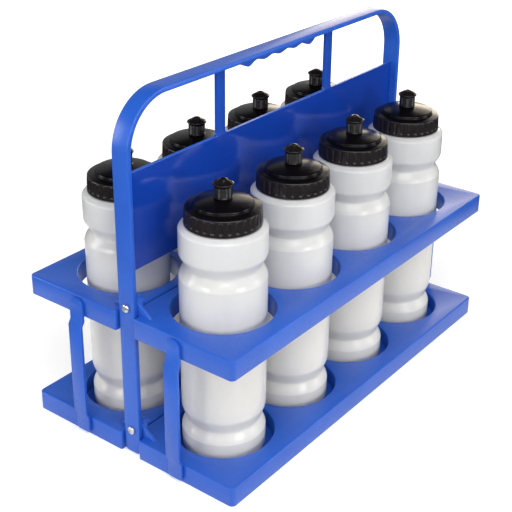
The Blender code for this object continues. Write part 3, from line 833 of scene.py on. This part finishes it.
spout = {
    "seat": 21.4 * mm, "steps": 80, "smooth": 35, "ridges": 8, "ridgeFrom": 1.25, "ridgePitch": 1.06,
    "ridge": ((7.26, 0.0), (7.4, 0.26), (7.5, 0.53), (7.4, 0.8)),
    "foot": ((7.2, 0.0), (7.6, 0.08), (7.78, 0.35), (7.78, 0.65), (7.62, 0.92), (7.42, 1.02)),
    "head": ((7.44, 9.9), (7.5, 10.05), (7.9, 10.35), (8.45, 10.85), (8.72, 11.12), (8.8, 11.5),
             (8.74, 11.85), (8.55, 12.1), (8.2, 12.25), (7.0, 12.62), (5.75, 13.3), (4.6, 14.2),
             (3.7, 15.1), (3.3, 15.45), (2.95, 15.6), (2.2, 15.6), (2.0, 15.45)),
    "inside": ((2.0, 13.8), (4.8, 12.0), (4.8, 0.2), (5.0, 0)),
    "fins": 20, "finWidth": 0.5 * mm, "fin": ((3.0, 13.6), (8.0, 11.9), (8.05, 12.42), (3.2, 15.2)),
}


def buildSpout():
    s = spout
    line = s["foot"]
    for i in range(s["ridges"]):
        line += tuple((r, s["ridgeFrom"] + i * s["ridgePitch"] + z) for r, z in s["ridge"])
    body = turnProfile("spout", inMillimetres(line + s["head"] + s["inside"]), s["steps"], closed=True)
    fin = drawAcross("fin", inMillimetres(s["fin"]), s["finWidth"])
    combine(body, joinPieces("fins", ringOf(fin, s["fins"])), 'UNION')
    smoothShade(body, s["smooth"])
    return body


def paintDomeShade(lid, level):
    # painted shade: the crown inside the skirt's top edge gets a darker copy of the cap's black
    lid.data.materials.append(shadedDomeBlack)
    for face in lid.data.polygons:
        if face.center.z > level:
            face.material_index = 1


masterBottle, masterCap, masterSpout = buildBottle(), buildCap(), buildSpout()
for row, way in (("front", -1), ("back", 1)):
    for i, column in enumerate(tray["columns"]):
        tag = row + "_" + str(i + 1)
        place = Vector((column * tray["pitch"], way * tray["row"], bottle["base"]))
        capPlace = place + Vector((0, 0, cap["lift"]))
        turn = i * bottle["turn"] + (way + 1) * bottle["rowTurn"]
        body = copyTo(masterBottle, "bottleBody_" + tag, place, turn)
        dress(body, pearlSkin, "pearl_polyethylene", "bottle_" + tag, "bottle_" + tag)
        lid = copyTo(masterCap, "capBody_" + tag, capPlace)
        dress(lid, capBlack, "black_plastic", "cap_" + tag, "cap_" + tag)
        # painted shade: the dome gets the darker copy of the black
        paintDomeShade(lid, capPlace.z + cap["domeFrom"])
        nozzle = copyTo(masterSpout, "spoutBody_" + tag, capPlace + Vector((0, 0, spout["seat"])), turn)
        dress(nozzle, spoutBlack, "black_plastic", "spout_" + tag, "spout_" + tag)
for master in (masterBottle, masterCap, masterSpout):
    bpy.data.objects.remove(master, do_unlink=True)
print("bottles ready")


studio = {
    "floorSize": 12, "floorDrop": 0.2 * mm, "floorRoughness": 0.9, "floorTone": (0.86, 0.86, 0.86, 1),
    "paper": (0.36, 0.56), "dim": (0.18, 0.98), "backdrop": (0.4, 1.3), "glow": (0.42, 0.95),
    "ambient": 0.32, "sky": (0.47, 0.58), "mirrored": (0.42, 0.02),
}


def buildFloor():
    freshStart()
    bpy.ops.mesh.primitive_plane_add(size=studio["floorSize"], location=(0, 0, -studio["floorDrop"]))
    ground = bpy.context.object
    ground.name = "studioFloor"
    finish = bpy.data.materials.new("studioPaper")
    finish.use_nodes = True
    tree = finish.node_tree
    shader = tree.nodes['Principled BSDF']
    shader.inputs['Roughness'].default_value = studio["floorRoughness"]
    shader.inputs['Specular IOR Level'].default_value = 0.0
    path = tree.nodes.new('ShaderNodeLightPath')
    away = tree.nodes.new('ShaderNodeVectorMath')
    away.operation = 'LENGTH'
    tree.links.new(tree.nodes.new('ShaderNodeTexCoord').outputs['Object'], away.inputs[0])
    distance = away.outputs['Value']
    # in reflections the paper darkens away from the part
    dark = rangeNode(tree, distance, studio["paper"], studio["dim"])
    dark = mathNode(tree, 'MULTIPLY', dark, path.outputs['Is Glossy Ray'])
    tree.links.new(mixColours(tree, dark, studio["floorTone"], (0, 0, 0, 1)), shader.inputs['Base Color'])
    # a glow makes it white for the camera, more so further back
    seen = mathNode(tree, 'MAXIMUM', path.outputs['Is Camera Ray'], path.outputs['Is Glossy Ray'])
    seen = mathNode(tree, 'MAXIMUM', seen, path.outputs['Is Transmission Ray'])
    seen = mathNode(tree, 'SUBTRACT', seen, dark, clamp=True)
    glow = rangeNode(tree, distance, studio["backdrop"], studio["glow"])
    shader.inputs['Emission Color'].default_value = (1, 1, 1, 1)
    tree.links.new(mathNode(tree, 'MULTIPLY', seen, glow), shader.inputs['Emission Strength'])
    ground.data.materials.append(finish)


def buildWorld():
    # white for the camera; in reflections grey, and dark high up
    ambient = studio["ambient"]
    world = bpy.data.worlds.new("studioWorld")
    bpy.context.scene.world = world
    world.use_nodes = True
    tree = world.node_tree
    tree.nodes.clear()
    path = tree.nodes.new('ShaderNodeLightPath')
    seen = mathNode(tree, 'MAXIMUM', path.outputs['Is Camera Ray'], path.outputs['Is Transmission Ray'])
    strength = mathNode(tree, 'MULTIPLY_ADD', seen, 1 - ambient, ambient)
    height = splitAxes(tree, tree.nodes.new('ShaderNodeTexCoord').outputs['Generated'])['Z']
    extra = tuple(level - ambient for level in studio["mirrored"])
    sky = rangeNode(tree, height, studio["sky"], extra)
    strength = mathNode(tree, 'MULTIPLY_ADD', path.outputs['Is Glossy Ray'], sky, strength)
    background = tree.nodes.new('ShaderNodeBackground')
    background.inputs['Color'].default_value = (1, 1, 1, 1)
    tree.links.new(strength, background.inputs['Strength'])
    out = tree.nodes.new('ShaderNodeOutputWorld')
    tree.links.new(background.outputs[0], out.inputs['Surface'])


# each lamp's place, size and power; the tints and aims that differ come after
lamps = (
    ("topSoftbox", (-0.48, -0.55, 1.08), (0.8, 0.6), 7.0),
    ("leftSoftbox", (-1.74, 0.14, 0.60), (0.7, 0.45), 6.6),
    ("rightSoftbox", (-0.36, -1.71, 0.60), (0.7, 0.45), 7.2),
    ("frontFill", (-1.18, -0.89, 0.80), (1.3, 1.0), 3),
    ("leftWing", (-1.12, 1.33, 0.55), (0.6, 0.8), 6.5),
    ("rightWing", (1.00, -1.45, 0.50), (0.6, 0.8), 5.5),
    ("lowPanel", (2.26, 0.82, 0.66), (1.3, 0.6), 12.5),
    ("highPanel", (2.26, 0.82, 1.33), (1.3, 0.75), 4.2),
)
lampTints = {"lowPanel": (1.0, 0.88, 0.70), "highPanel": (1.0, 0.86, 0.66)}
lampAims = {"topSoftbox": (-0.15, 0, 0.15), "rightWing": (0.1, 0, 0.15)}
partMiddle = (0, 0, 0.15)


def buildLamps():
    for name, place, (width, height), power in lamps:
        freshStart()
        bpy.ops.object.light_add(type='AREA', location=place)
        light = bpy.context.object
        light.name = name
        light.visible_camera = False
        light.data.shape = 'RECTANGLE'
        light.data.size, light.data.size_y = width, height
        light.data.energy = power
        light.data.color = lampTints.get(name, (1, 1, 1))
        aim = Vector(lampAims.get(name, partMiddle)) - Vector(place)
        light.rotation_euler = aim.to_track_quat('-Z', 'Y').to_euler()


# the photograph's viewpoint, fitted to the edges of the trays, the frame and the bottles
view = {"right": (0.6081, -0.7938, 0.0114), "up": (0.3225, 0.2601, 0.9101),
        "place": (-0.7429, -0.5482, 0.5815), "sensor": 36, "lens": 76.05, "shift": (-0.0115, -0.0936),
        "clip": (0.05, 50)}


def buildCamera():
    freshStart()
    bpy.ops.object.camera_add()
    camera = bpy.context.object
    right = Vector(view["right"])
    back = right.cross(Vector(view["up"])).normalized()
    up = back.cross(right).normalized()
    turn = Matrix((right.normalized(), up, back)).transposed().to_4x4()
    camera.matrix_world = Matrix.Translation(view["place"]) @ turn
    camera.data.sensor_width = view["sensor"]
    camera.data.lens = view["lens"]
    camera.data.shift_x, camera.data.shift_y = view["shift"]
    camera.data.clip_start, camera.data.clip_end = view["clip"]
    bpy.context.scene.camera = camera


buildFloor()
buildWorld()
buildLamps()
buildCamera()
bpy.context.scene.view_settings.view_transform = 'Standard'
print("studio ready")

freshStart()
